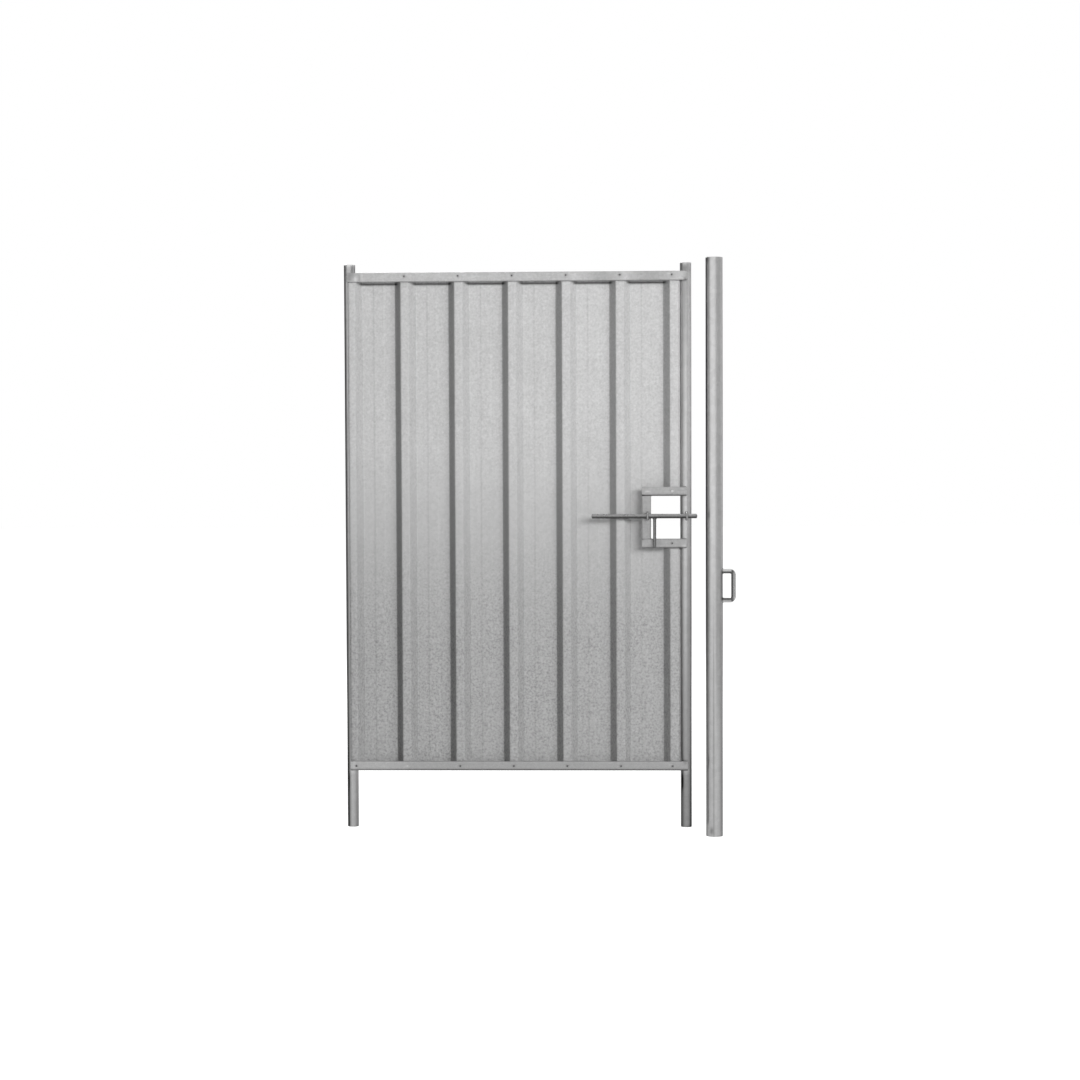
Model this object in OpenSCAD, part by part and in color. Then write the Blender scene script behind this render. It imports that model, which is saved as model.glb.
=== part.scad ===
// Pedestrian gate of a steel site hoarding. The leaf is a profiled sheet behind two
// rails, between two tube stiles that stand on their own legs. It has a hatch to reach
// through and a sliding bolt. A loose tube post with a keeper loop stands beside it.
// Millimetres, +Z up. The origin is the centre of the latch post's foot, +X runs from
// the leaf to the post, and the rails, the hatch bars and the bolt are on the -Y face.

/* [Leaf] */
// Length of both stiles, and so the height of the leaf
leaf_height = 2000; // [1600:10:2400]
// Distance between the axes of the two stiles
leaf_width = 1190; // [980:5:1500]
// Height of the leaf's feet above the foot of the latch post
leaf_lift = 33; // [10:1:60]

/* [Stiles] */
// Outside diameter of a stile
stile_d = 40; // [32:1:50]
// Wall thickness of a stile
stile_wall = 2; // [1.5:0.1:4]

/* [Rails] */
// Height of a rail's face
rail_h = 32; // [24:1:40]
// Depth of a rail, front to back
rail_d = 16; // [12:1:24]
// Wall thickness of the rails and hatch bars
rail_wall = 1.5; // [1:0.1:2.5]
// Outside corner radius of the rails and hatch bars
rail_round = 3; // [2.6:0.1:4]
// Height of the bottom rail's lower edge above the leaf's feet
bottom_rail_z = 205; // [120:5:320]
// How far the stiles stand up above the top rail
stile_horn = 31; // [15:1:60]
// Where the rails start, from the axis of the hinge stile
rail_start = -5; // [-8:1:4]
// How far the rails run past the axis of the latch stile
rail_past = 4; // [0:1:8]

/* [Profiled sheet] */
// Thickness of the sheet
sheet_t = 0.7; // [0.5:0.05:1.2]
// Depth of the profile, from crest to pan
sheet_depth = 35; // [25:1:38]
// Width of a crest
crest_w = 28; // [20:1:34]
// Width that a sloping web takes up between crest and pan
web_run = 22.5; // [14:0.5:26]
// Number of pans across the leaf
pan_count = 6; // [5:1:7]
// Centre of the first crest, from the axis of the hinge stile
crest_start = 6.5; // [4:0.5:9]
// How far the sheet reaches behind that axis
sheet_lap = 5.5; // [3:0.5:9]
// Width that the folded lip takes up between the last crest and the latch stile
lip_run = 8.3; // [6:0.1:10]
// Width of the low stiffening bead in each pan
bead_w = 41; // [24:1:48]
// How far that bead stands up from the pan
bead_h = 1.5; // [1:0.1:2.5]
// Width that each side of the bead takes up
bead_run = 4; // [2:0.5:6]
// How far the sheet's ends stop short of the rails' outer edges
sheet_tuck = 6; // [4:1:10]

/* [Hatch] */
// Width of the opening, from the jamb to the latch stile
hatch_w = 104; // [80:1:125]
// Height of the opening
hatch_h = 151; // [120:1:220]
// Height of the opening's lower edge above the leaf's feet
hatch_z = 1027; // [800:1:1200]
// Width of the hatch bars
bar_w = 32; // [26:1:36]
// How far the hatch bars run past the axis of the latch stile
bar_past = 1; // [0:1:4]
// How far the cut edge of the sheet hides behind a bar
hatch_tuck = 8; // [4:1:12]

/* [Bolt] */
// Diameter of the sliding bolt
bolt_d = 16; // [12:0.5:18]
// Length of the bolt
bolt_l = 372; // [300:1:420]
// Height of the bolt's axis above the leaf's feet
bolt_z = 1107; // [880:1:1280]
// How far the retracted bolt stands out past the latch stile
bolt_past = 18; // [10:1:25]
// Gap between the bolt and the face of the hatch bars
bolt_stand = 3; // [2:0.5:6]
// Running clearance round the bolt in its guides
bolt_play = 0.3; // [0.2:0.05:0.6]
// Diameter of the rod that a guide is bent from
guide_d = 7; // [5:0.5:9]
// Where the first guide stands on the jamb, from the jamb's left edge
guide_in = 19; // [12:1:22]
// Diameter of the bolt's handle
handle_d = 11; // [8:0.5:11.5]
// Length of the handle, from the bolt's axis to its free end
handle_l = 111; // [90:1:130]
// Gap between the handle and the guide on the jamb
handle_gap = 16; // [12:0.5:24]

/* [Latch post] */
// Outside diameter of the latch post
post_d = 60.3; // [48.3:0.1:76.1]
// Wall thickness of the latch post
post_wall = 2; // [1.5:0.1:4]
// Gap between the latch stile and the latch post
post_gap = 50; // [45:1:90]
// How far the post stands up above the stiles
post_horn = 18; // [0:1:60]
// Diameter of the keeper loop's rod
loop_d = 16; // [12:0.5:18]
// Height of the loop's lower edge above the post's foot
loop_z = 832; // [600:1:1000]
// Height of the loop, outside
loop_h = 119; // [90:1:160]
// How far the loop stands out from the post
loop_out = 46; // [40:1:70]
// Radius of the loop's bends, at the rod's axis
loop_bend = 13; // [10:0.5:16]

/* [Rivets and welds] */
// Diameter of a rivet's head
rivet_d = 9; // [7:0.5:11]
// Height of a rivet's head
rivet_h = 2.4; // [1.5:0.1:3]
// Thickness of a rivet's tail, behind the sheet
rivet_tail = 2; // [1:0.1:3]
// How far the first rivet of the bottom rail stands off its crest's centre
rivet_first = 10; // [8:0.5:11]
// How far the rivets of the last crest stand off its centre, to the left
rivet_last = 8; // [0:0.5:9]
// Height of the top rail's rivets above its lower edge
rivet_up = 19; // [12:1:22]
// Radius of a weld bead
weld_r = 4; // [2.5:0.5:5]
// How far a weld runs on along the edge of its bar
weld_lap = 10; // [6:1:14]
// Radius of the beads in the hatch frame's corners
bar_weld_r = 2.5; // [1.5:0.5:3]

/* [Hidden] */
$fn = 96;
cut = 5;            // how far a cutting shape runs past what it cuts
steel = "silver";
dull_steel = "darkgray";
weld_steel = "dimgray";

// Places along the leaf, from the axis of the hinge stile
leaf_x = -(post_d / 2 + post_gap + stile_d / 2 + leaf_width);
latch_flank = leaf_width - stile_d / 2;
rail_end = leaf_width + rail_past;
rail_l = rail_end - rail_start;
bar_end = leaf_width + bar_past;
lip_depth = lip_run * sheet_depth / web_run;
lip_y = lip_depth - stile_d / 2;
lip_gap = 0.1;      // left between the sheet's thickness at the lip's edge and the stile
lip_edge = leaf_width - sqrt(pow(stile_d / 2 + sheet_t + lip_gap, 2) - lip_y * lip_y);
last_crest = lip_edge - lip_run - crest_w / 2;
pitch = (last_crest - crest_start) / pan_count;
hatch_x = latch_flank - hatch_w;
jamb_x = hatch_x - bar_w;
guide_x = jamb_x + guide_in;
stile_guide_x = bar_end;
bolt_x = leaf_width + stile_d / 2 + bolt_past - bolt_l;
handle_x = guide_x + guide_d / 2 + handle_gap + handle_d / 2;

// Heights above the leaf's feet
top_rail_z = leaf_height - stile_horn - rail_h;
hatch_top = hatch_z + hatch_h;
sheet_z = bottom_rail_z + sheet_tuck;
sheet_top = top_rail_z + rail_h - sheet_tuck;

// Depths. The back of every crest lies on the front of the stiles.
crest_y = -stile_d / 2;
pan_y = crest_y + sheet_depth;
rail_back = crest_y - sheet_t;
rail_front = rail_back - rail_d;
bolt_y = rail_front - bolt_stand - bolt_d / 2;
guide_r = bolt_d / 2 + bolt_play + guide_d / 2;
guide_weld = 2;     // how far a guide's weld stands up round its legs

// The sheet's profile: a line along its back, and the same line one thickness forward
function crest_x(k) = crest_start + k * pitch;
function pan_points(k) =
    let (
        left = crest_x(k) + crest_w / 2,
        right = crest_x(k + 1) - crest_w / 2,
        mid = (left + right) / 2
    )
    [
        [left, crest_y],
        [left + web_run, pan_y],
        [mid - bead_w / 2, pan_y],
        [mid - bead_w / 2 + bead_run, pan_y - bead_h],
        [mid + bead_w / 2 - bead_run, pan_y - bead_h],
        [mid + bead_w / 2, pan_y],
        [right - web_run, pan_y],
        [right, crest_y],
    ];
sheet_line = concat(
    [[-sheet_lap, crest_y]],
    [for (k = [0:pan_count - 1]) each pan_points(k)],
    [[last_crest + crest_w / 2, crest_y], [lip_edge, lip_y]]
);
function forward(a, b) = let (d = (b - a) / norm(b - a)) [d[1], -d[0]];
function mitred(p, t) = [
    for (i = [0:len(p) - 1])
        let (
            j = max(i, 1),
            k = min(i, len(p) - 2),
            n0 = forward(p[j - 1], p[j]),
            n1 = forward(p[k], p[k + 1])
        )
        p[i] + t * (n0 + n1) / (1 + n0 * n1)
];
function reversed(p) = [for (i = [len(p) - 1:-1:0]) p[i]];

// Shapes that several pieces share
module on_leaf() {
    translate([leaf_x, 0, leaf_lift]) children();
}

module tube(d, wall, h) {
    difference() {
        cylinder(h = h, d = d);
        translate([0, 0, -cut]) cylinder(h = h + 2 * cut, d = d - 2 * wall);
    }
}

module round_rect(w, h, r) {
    translate([r, 0]) square([w - 2 * r, h]);
    translate([0, r]) square([w, h - 2 * r]);
    for (x = [r, w - r], y = [r, h - r]) translate([x, y]) circle(r);
}

module hollow_section(w, h) {
    difference() {
        round_rect(w, h, rail_round);
        translate([rail_wall, rail_wall])
            round_rect(w - 2 * rail_wall, h - 2 * rail_wall, rail_round - rail_wall);
    }
}

// A bar along X whose back is on the crests: x and z of its lower left end, its length
// and the height of its face
module bar_along(x, z, l, h) {
    translate([x, rail_front, z])
        rotate([90, 0, 90]) linear_extrude(l) hollow_section(rail_d, h);
}

module bar_space(x, z, l, h) {
    translate([x, rail_front, z]) cube([l, rail_d, h]);
}

module stile(x) {
    on_leaf() translate([x, 0, 0]) tube(stile_d, stile_wall, leaf_height);
}

module stile_space(x) {
    translate([x, 0, 0]) cylinder(h = leaf_height, d = stile_d);
}

module sheet_space() {
    translate([-sheet_lap, rail_back, sheet_z])
        cube([sheet_lap + crest_start + crest_w, stile_d / 2, sheet_top - sheet_z]);
}

module round_ended(l, r) {
    cylinder(h = l, r = r);
    sphere(r);
    translate([0, 0, l]) sphere(r);
}

// The weld of a bar's end to a stile's front: one bead up the end and one along an edge
// of the bar. side is 1 where the bar runs off to the right, and -1 where to the left.
module end_weld(x, z, h, edge_z, side, lap) {
    difference() {
        union() {
            translate([x, rail_back, z + weld_r]) round_ended(h - 2 * weld_r, weld_r);
            translate([x, rail_back, edge_z]) rotate([0, side * 90, 0]) round_ended(lap, weld_r);
        }
        bar_space(side > 0 ? x : x - leaf_width / 2, z, leaf_width / 2, h);
        children();
    }
}

module rivet_head(x, z) {
    ball = (rivet_d * rivet_d / 4 + rivet_h * rivet_h) / (2 * rivet_h);
    translate([x, rail_front, z]) difference() {
        translate([0, ball - rivet_h, 0]) sphere(ball);
        translate([-2 * ball, 0, -2 * ball]) cube(4 * ball);
    }
}

module rivet_tail(x, z) {
    translate([x, crest_y + rivet_tail, z])
        rotate([90, 0, 0]) cylinder(h = rivet_tail, d = rivet_d);
}

// A staple round the bolt, open towards the leaf, with its legs run back to leg_y
module guide(x, leg_y, collar_y) {
    leg = leg_y - bolt_y;
    collar = leg_y - collar_y;
    translate([x, bolt_y, bolt_z]) {
        rotate([0, 90, 0]) rotate([0, 0, 180]) rotate_extrude(angle = 180)
            translate([guide_r, 0]) circle(d = guide_d);
        for (z = [-guide_r, guide_r]) translate([0, 0, z]) {
            rotate([-90, 0, 0]) cylinder(h = leg, d = guide_d);
            translate([0, leg, 0]) rotate([90, 0, 0])
                cylinder(h = collar, d1 = guide_d + 2 * collar, d2 = guide_d);
        }
    }
}

// The latch post and its keeper
module latch_post() {
    color(steel) tube(post_d, post_wall, leaf_lift + leaf_height + post_horn);
}

module keeper_loop() {
    limb_x = post_d / 2 + loop_out - loop_d / 2;
    low_z = loop_z + loop_d / 2;
    high_z = loop_z + loop_h - loop_d / 2;
    collar_h = 6;
    collar_sink = 1;
    color(dull_steel) difference() {
        union() {
            for (z = [low_z, high_z]) translate([0, 0, z]) rotate([0, 90, 0]) {
                cylinder(h = limb_x - loop_bend, d = loop_d);
                translate([0, 0, post_d / 2 - collar_sink])
                    cylinder(h = collar_h, d1 = loop_d + collar_h, d2 = loop_d);
            }
            translate([limb_x, 0, low_z + loop_bend])
                cylinder(h = high_z - low_z - 2 * loop_bend, d = loop_d);
            translate([limb_x - loop_bend, 0, low_z + loop_bend])
                rotate([90, 0, 0]) rotate([0, 0, 270]) rotate_extrude(angle = 90)
                    translate([loop_bend, 0]) circle(d = loop_d);
            translate([limb_x - loop_bend, 0, high_z - loop_bend])
                rotate([90, 0, 0]) rotate_extrude(angle = 90)
                    translate([loop_bend, 0]) circle(d = loop_d);
        }
        cylinder(h = leaf_height, d = post_d);
    }
}

// The leaf's frame and sheet
module hinge_stile() {
    color(steel) stile(0);
}

module latch_stile() {
    color(steel) stile(leaf_width);
}

module top_rail() {
    color(steel) on_leaf() bar_along(rail_start, top_rail_z, rail_l, rail_h);
}

module bottom_rail() {
    color(dull_steel) on_leaf() bar_along(rail_start, bottom_rail_z, rail_l, rail_h);
}

module profiled_sheet() {
    notch_x = hatch_x - hatch_tuck;
    notch_w = lip_edge + cut - notch_x;
    color(steel) on_leaf() difference() {
        translate([0, 0, sheet_z]) linear_extrude(sheet_top - sheet_z)
            polygon(concat(sheet_line, reversed(mitred(sheet_line, sheet_t))));
        translate([notch_x, crest_y - cut, hatch_z - hatch_tuck])
            cube([notch_w, sheet_depth + 2 * cut, hatch_h + 2 * hatch_tuck]);
    }
}

// The hatch frame
module hatch_top_bar() {
    color(dull_steel) on_leaf() bar_along(jamb_x, hatch_top, bar_end - jamb_x, bar_w);
}

module hatch_bottom_bar() {
    color(dull_steel) on_leaf() bar_along(jamb_x, hatch_z - bar_w, bar_end - jamb_x, bar_w);
}

module hatch_jamb() {
    color(dull_steel) on_leaf() translate([jamb_x, rail_front, hatch_z])
        linear_extrude(hatch_h) hollow_section(bar_w, rail_d);
}

// Rivets: a domed head on the bar and a flat tail behind the crest
module top_rail_rivets() {
    z = top_rail_z + rivet_up;
    color(weld_steel) on_leaf() for (k = [1:pan_count]) {
        x = crest_x(k) - (k == pan_count ? rivet_last : 0);
        rivet_head(x, z);
        rivet_tail(x, z);
    }
}

module bottom_rail_rivets() {
    z = bottom_rail_z + rail_h / 2;
    color(weld_steel) on_leaf() {
        rivet_head(crest_start + rivet_first, z);
        for (k = [1:pan_count]) {
            x = crest_x(k) - (k == pan_count ? rivet_last : 0);
            rivet_head(x, z);
            rivet_tail(x, z);
        }
    }
}

module hatch_rivets() {
    color(weld_steel) on_leaf() for (z = [hatch_z - bar_w / 2, hatch_top + bar_w / 2]) {
        rivet_head(last_crest - rivet_last, z);
        rivet_tail(last_crest - rivet_last, z);
    }
}

// Welds of the bars to the stiles
module top_hinge_weld() {
    color(weld_steel) on_leaf()
        end_weld(rail_start, top_rail_z, rail_h, top_rail_z + rail_h, 1, weld_lap) {
            stile_space(0);
            sheet_space();
        }
}

module top_latch_weld() {
    color(weld_steel) on_leaf()
        end_weld(rail_end, top_rail_z, rail_h, top_rail_z + rail_h, -1, weld_lap)
            stile_space(leaf_width);
}

module bottom_hinge_weld() {
    color(weld_steel) on_leaf()
        end_weld(rail_start, bottom_rail_z, rail_h, bottom_rail_z, 1, weld_lap) {
            stile_space(0);
            sheet_space();
        }
}

module bottom_latch_weld() {
    color(weld_steel) on_leaf()
        end_weld(rail_end, bottom_rail_z, rail_h, bottom_rail_z, -1, weld_lap)
            stile_space(leaf_width);
}

module hatch_top_weld() {
    color(weld_steel) on_leaf()
        end_weld(bar_end, hatch_top, bar_w, hatch_top + bar_w, -1, weld_lap)
            stile_space(leaf_width);
}

module hatch_bottom_weld() {
    color(weld_steel) on_leaf()
        end_weld(bar_end, hatch_z - bar_w, bar_w, hatch_z - bar_w, -1, weld_lap)
            stile_space(leaf_width);
}

module jamb_welds() {
    bead_l = rail_d - 2 * rail_round;
    color(weld_steel) on_leaf() difference() {
        for (x = [jamb_x, hatch_x], z = [hatch_z, hatch_top])
            translate([x, rail_back - rail_round, z])
                rotate([90, 0, 0]) round_ended(bead_l, bar_weld_r);
        translate([jamb_x, rail_front - cut, hatch_z - bar_w])
            cube([bar_w, rail_d + 2 * cut, hatch_h + 2 * bar_w]);
        bar_space(jamb_x, hatch_top, leaf_width - jamb_x, bar_w);
        bar_space(jamb_x, hatch_z - bar_w, leaf_width - jamb_x, bar_w);
    }
}

// The sliding bolt, its guides and its handle
module bolt_guide_jamb() {
    color(weld_steel) on_leaf() guide(guide_x, rail_front, rail_front - guide_weld);
}

module bolt_guide_stile() {
    color(weld_steel) on_leaf() difference() {
        guide(stile_guide_x, crest_y + guide_weld, crest_y - guide_weld);
        stile_space(leaf_width);
    }
}

module bolt_rod() {
    bevel = 1.5;
    color(weld_steel) on_leaf() translate([bolt_x, bolt_y, bolt_z]) rotate([0, 90, 0]) {
        cylinder(h = bevel, d1 = bolt_d - 2 * bevel, d2 = bolt_d);
        translate([0, 0, bevel]) cylinder(h = bolt_l - 2 * bevel, d = bolt_d);
        translate([0, 0, bolt_l - bevel]) cylinder(h = bevel, d1 = bolt_d, d2 = bolt_d - 2 * bevel);
    }
}

module bolt_handle() {
    collar = 2.5;
    collar_h = 5;
    collar_z = bolt_d / 2 + collar_h;
    color(dull_steel) on_leaf() translate([handle_x, bolt_y, bolt_z]) difference() {
        union() {
            translate([0, 0, -handle_l]) cylinder(h = handle_l, d = handle_d);
            translate([0, 0, -collar_z])
                cylinder(h = collar_z, d1 = handle_d, d2 = handle_d + 2 * collar);
        }
        translate([-bolt_d, 0, 0]) rotate([0, 90, 0])
            cylinder(h = 2 * bolt_d, d = bolt_d + 2 * bolt_play);
        translate([-bolt_d, -bolt_d, 0]) cube(2 * bolt_d);
    }
}

latch_post();
keeper_loop();
hinge_stile();
latch_stile();
top_rail();
bottom_rail();
profiled_sheet();
hatch_top_bar();
hatch_bottom_bar();
hatch_jamb();
bolt_guide_jamb();
bolt_guide_stile();
top_rail_rivets();
bottom_rail_rivets();
hatch_rivets();
top_hinge_weld();
top_latch_weld();
bottom_hinge_weld();
bottom_latch_weld();
hatch_top_weld();
hatch_bottom_weld();
jamb_welds();
bolt_rod();
bolt_handle();
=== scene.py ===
import math
import bmesh
import bpy
import numpy as np
from mathutils import Matrix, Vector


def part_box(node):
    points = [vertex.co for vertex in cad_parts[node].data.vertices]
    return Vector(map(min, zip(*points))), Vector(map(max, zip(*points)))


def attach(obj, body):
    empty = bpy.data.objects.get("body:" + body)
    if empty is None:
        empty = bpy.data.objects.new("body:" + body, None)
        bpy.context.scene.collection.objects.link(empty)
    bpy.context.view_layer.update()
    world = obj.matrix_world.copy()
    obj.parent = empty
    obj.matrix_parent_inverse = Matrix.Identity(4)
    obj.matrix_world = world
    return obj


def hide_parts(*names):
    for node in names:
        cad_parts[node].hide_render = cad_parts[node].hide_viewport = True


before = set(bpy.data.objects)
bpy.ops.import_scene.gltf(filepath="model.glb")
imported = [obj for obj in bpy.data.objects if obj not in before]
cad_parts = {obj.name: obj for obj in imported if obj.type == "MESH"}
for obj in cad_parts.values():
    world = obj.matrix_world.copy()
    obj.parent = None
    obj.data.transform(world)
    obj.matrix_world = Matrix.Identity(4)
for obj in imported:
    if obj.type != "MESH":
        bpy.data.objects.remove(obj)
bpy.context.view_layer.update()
print("frame loaded")

mm = 0.001
samePoint = 0.001 * mm  # points nearer than this are merged
fullTurn = 2 * math.pi
ways = np.eye(3)  # unit vectors along X, Y and Z


# sRGB hex to linear: c / 12.92 below 0.04045, and ((c + 0.055) / 1.055) ^ 2.4 above it
def linearColour(hexColour):
    shares = np.array([int(hexColour[i:i + 2], 16) for i in (1, 3, 5)]) / 255
    bright = ((shares + 0.055) / 1.055) ** 2.4
    return (*np.where(shares <= 0.04045, shares / 12.92, bright).tolist(), 1.0)


# Adds a shader node, sets its properties, and fills or links its inputs
def addNode(tree, kind, inputs=None, **settings):
    node = tree.nodes.new("ShaderNode" + kind)
    for name, value in settings.items():
        setattr(node, name, value)
    for name, value in (inputs or {}).items():
        if isinstance(value, bpy.types.NodeSocket):
            tree.links.new(value, node.inputs[name])
        else:
            node.inputs[name].default_value = value
    return node


# Clears an owner's shader nodes, and gives the tree they were in
def emptyTree(owner):
    owner.use_nodes = True
    owner.node_tree.nodes.clear()
    return owner.node_tree


# Smooth unevenness between -1 and 1: the soft-limited sum of sine waves that run in
# random directions, each about one wavelength long
def unevenness(points, wavelength, seed, waves=9):
    draw = np.random.default_rng(seed)
    directions = draw.normal(size=(waves, points.shape[-1]))
    directions /= np.linalg.norm(directions, axis=1, keepdims=True)
    rates = fullTurn / wavelength * draw.uniform(0.6, 1.5, waves)
    phases = draw.uniform(0, fullTurn, waves)
    return np.tanh(np.sin(points @ directions.T * rates + phases).sum(axis=-1) / math.sqrt(waves))


# A grid of points (rows x columns x 3) and its quads, closed along either way if asked
def gridShape(points, wrapRows=False, wrapColumns=False):
    rows, columns = points.shape[:2]
    r = np.arange(rows if wrapRows else rows - 1)[:, None]
    c = np.arange(columns if wrapColumns else columns - 1)[None, :]
    nextRow, nextColumn = (r + 1) % rows, (c + 1) % columns
    corners = np.broadcast_arrays(
        r * columns + c, r * columns + nextColumn, nextRow * columns + nextColumn, nextRow * columns + c)
    return points.reshape(-1, 3), np.stack(corners, axis=-1).reshape(-1, 4)


# Joins shapes into one mesh piece that rides on a body and stands for CAD nodes
def makePiece(name, shapes, material, body, replaced, tones=None, closed=True, sharpAngle=38):
    starts = np.cumsum([0] + [len(points) for points, quads in shapes])
    points = np.vstack([points for points, quads in shapes])
    quads = np.vstack([quads + start for (_, quads), start in zip(shapes, starts)])
    mesh = bpy.data.meshes.new(name)
    mesh.from_pydata(points.tolist(), [], quads.tolist())
    if tones is not None:
        toneLayer = mesh.attributes.new("tone", "FLOAT", "POINT")
        toneLayer.data.foreach_set("value", tones.astype(np.float32).ravel())
    shell = bmesh.new()
    shell.from_mesh(mesh)
    bmesh.ops.remove_doubles(shell, verts=shell.verts, dist=samePoint)
    if closed:
        bmesh.ops.recalc_face_normals(shell, faces=shell.faces)
    shell.to_mesh(mesh)
    shell.free()
    mesh.polygons.foreach_set("use_smooth", np.ones(len(mesh.polygons), bool))
    mesh.set_sharp_from_angle(angle=math.radians(sharpAngle))
    mesh.materials.append(material)
    piece = bpy.data.objects.new(name, mesh)
    bpy.context.collection.objects.link(piece)
    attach(piece, body)
    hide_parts(*replaced)
    return piece


# Places along a rod: cosine spacing in its rounded ends, even steps between them
def placesAlong(length, endLength, step):
    turn = np.linspace(0, math.pi / 2, 6)
    start = endLength * (1 - np.cos(turn))
    middle = np.linspace(endLength, length - endLength, max(3, round(length / step)))[1:-1]
    return np.concatenate([start, middle, length - start[::-1]])


# Points of an arc: centre + r (cos a * first + sin a * second)
def arc(centre, radius, first, second, fromDegrees, toDegrees, steps=12):
    turn = np.radians(np.linspace(fromDegrees, toDegrees, steps))[:, None]
    return np.array(centre) + radius * (np.cos(turn) * first + np.sin(turn) * second)


# Circles along a flat path: centre + r (cos a * across + sin a * (tangent x across))
def circlesAlong(path, radii, across, sides, closed=False):
    if closed:
        tangents = np.roll(path, -1, axis=0) - np.roll(path, 1, axis=0)
    else:
        tangents = np.gradient(path, axis=0)
    tangents /= np.linalg.norm(tangents, axis=1, keepdims=True)
    beside = np.cross(tangents, across)
    turn = np.linspace(0, fullTurn, sides, endpoint=False)
    ring = np.cos(turn)[None, :, None] * across + np.sin(turn)[None, :, None] * beside[:, None, :]
    return gridShape(path[:, None, :] + radii[:, None, None] * ring, wrapRows=closed, wrapColumns=True)


# A round rod along a route, with quarter-ellipse ends: r = R sqrt(1 - (1 - s / L)^2)
def rod(route, radius, across, endLength, sides, step=4 * mm, ripple=0, seed=1):
    spans = np.linalg.norm(np.diff(route, axis=0), axis=1)
    lengths = np.concatenate([[0], np.cumsum(spans)])
    places = placesAlong(lengths[-1], endLength, step)
    path = np.stack([np.interp(places, lengths, route[:, way]) for way in range(3)], axis=1)
    inward = 1 - np.clip(np.minimum(places, lengths[-1] - places) / endLength, 0, 1)
    radii = radius * np.sqrt(1 - inward ** 2)
    if ripple:
        radii = radii * rippled(places, ripple, seed)
    return circlesAlong(path, radii, across, sides)


# A weld's swelling along its run: 0.86 + 0.08 cos(2 pi s / ripple) + 0.06 x unevenness
def rippled(places, ripple, seed):
    waves = np.cos(fullTurn * places / ripple)
    return 0.86 + 0.08 * waves + 0.06 * unevenness(places[:, None], 7 * mm, seed)


weldRipple = 2.1 * mm


# A straight weld bead, with ends as long as it is thick
def weldBead(start, end, radius, across, seed):
    route = np.array([start, end])
    return rod(route, radius, across, radius, sides=14, step=0.5 * mm, ripple=weldRipple, seed=seed)


# A weld bead round the foot of a rod, along a closed route
def ringBead(route, radius, across, seed):
    spans = np.linalg.norm(np.roll(route, -1, axis=0) - route, axis=1)
    places = np.cumsum(spans)
    return circlesAlong(route, radius * rippled(places, weldRipple, seed), across, 12, closed=True)


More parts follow.
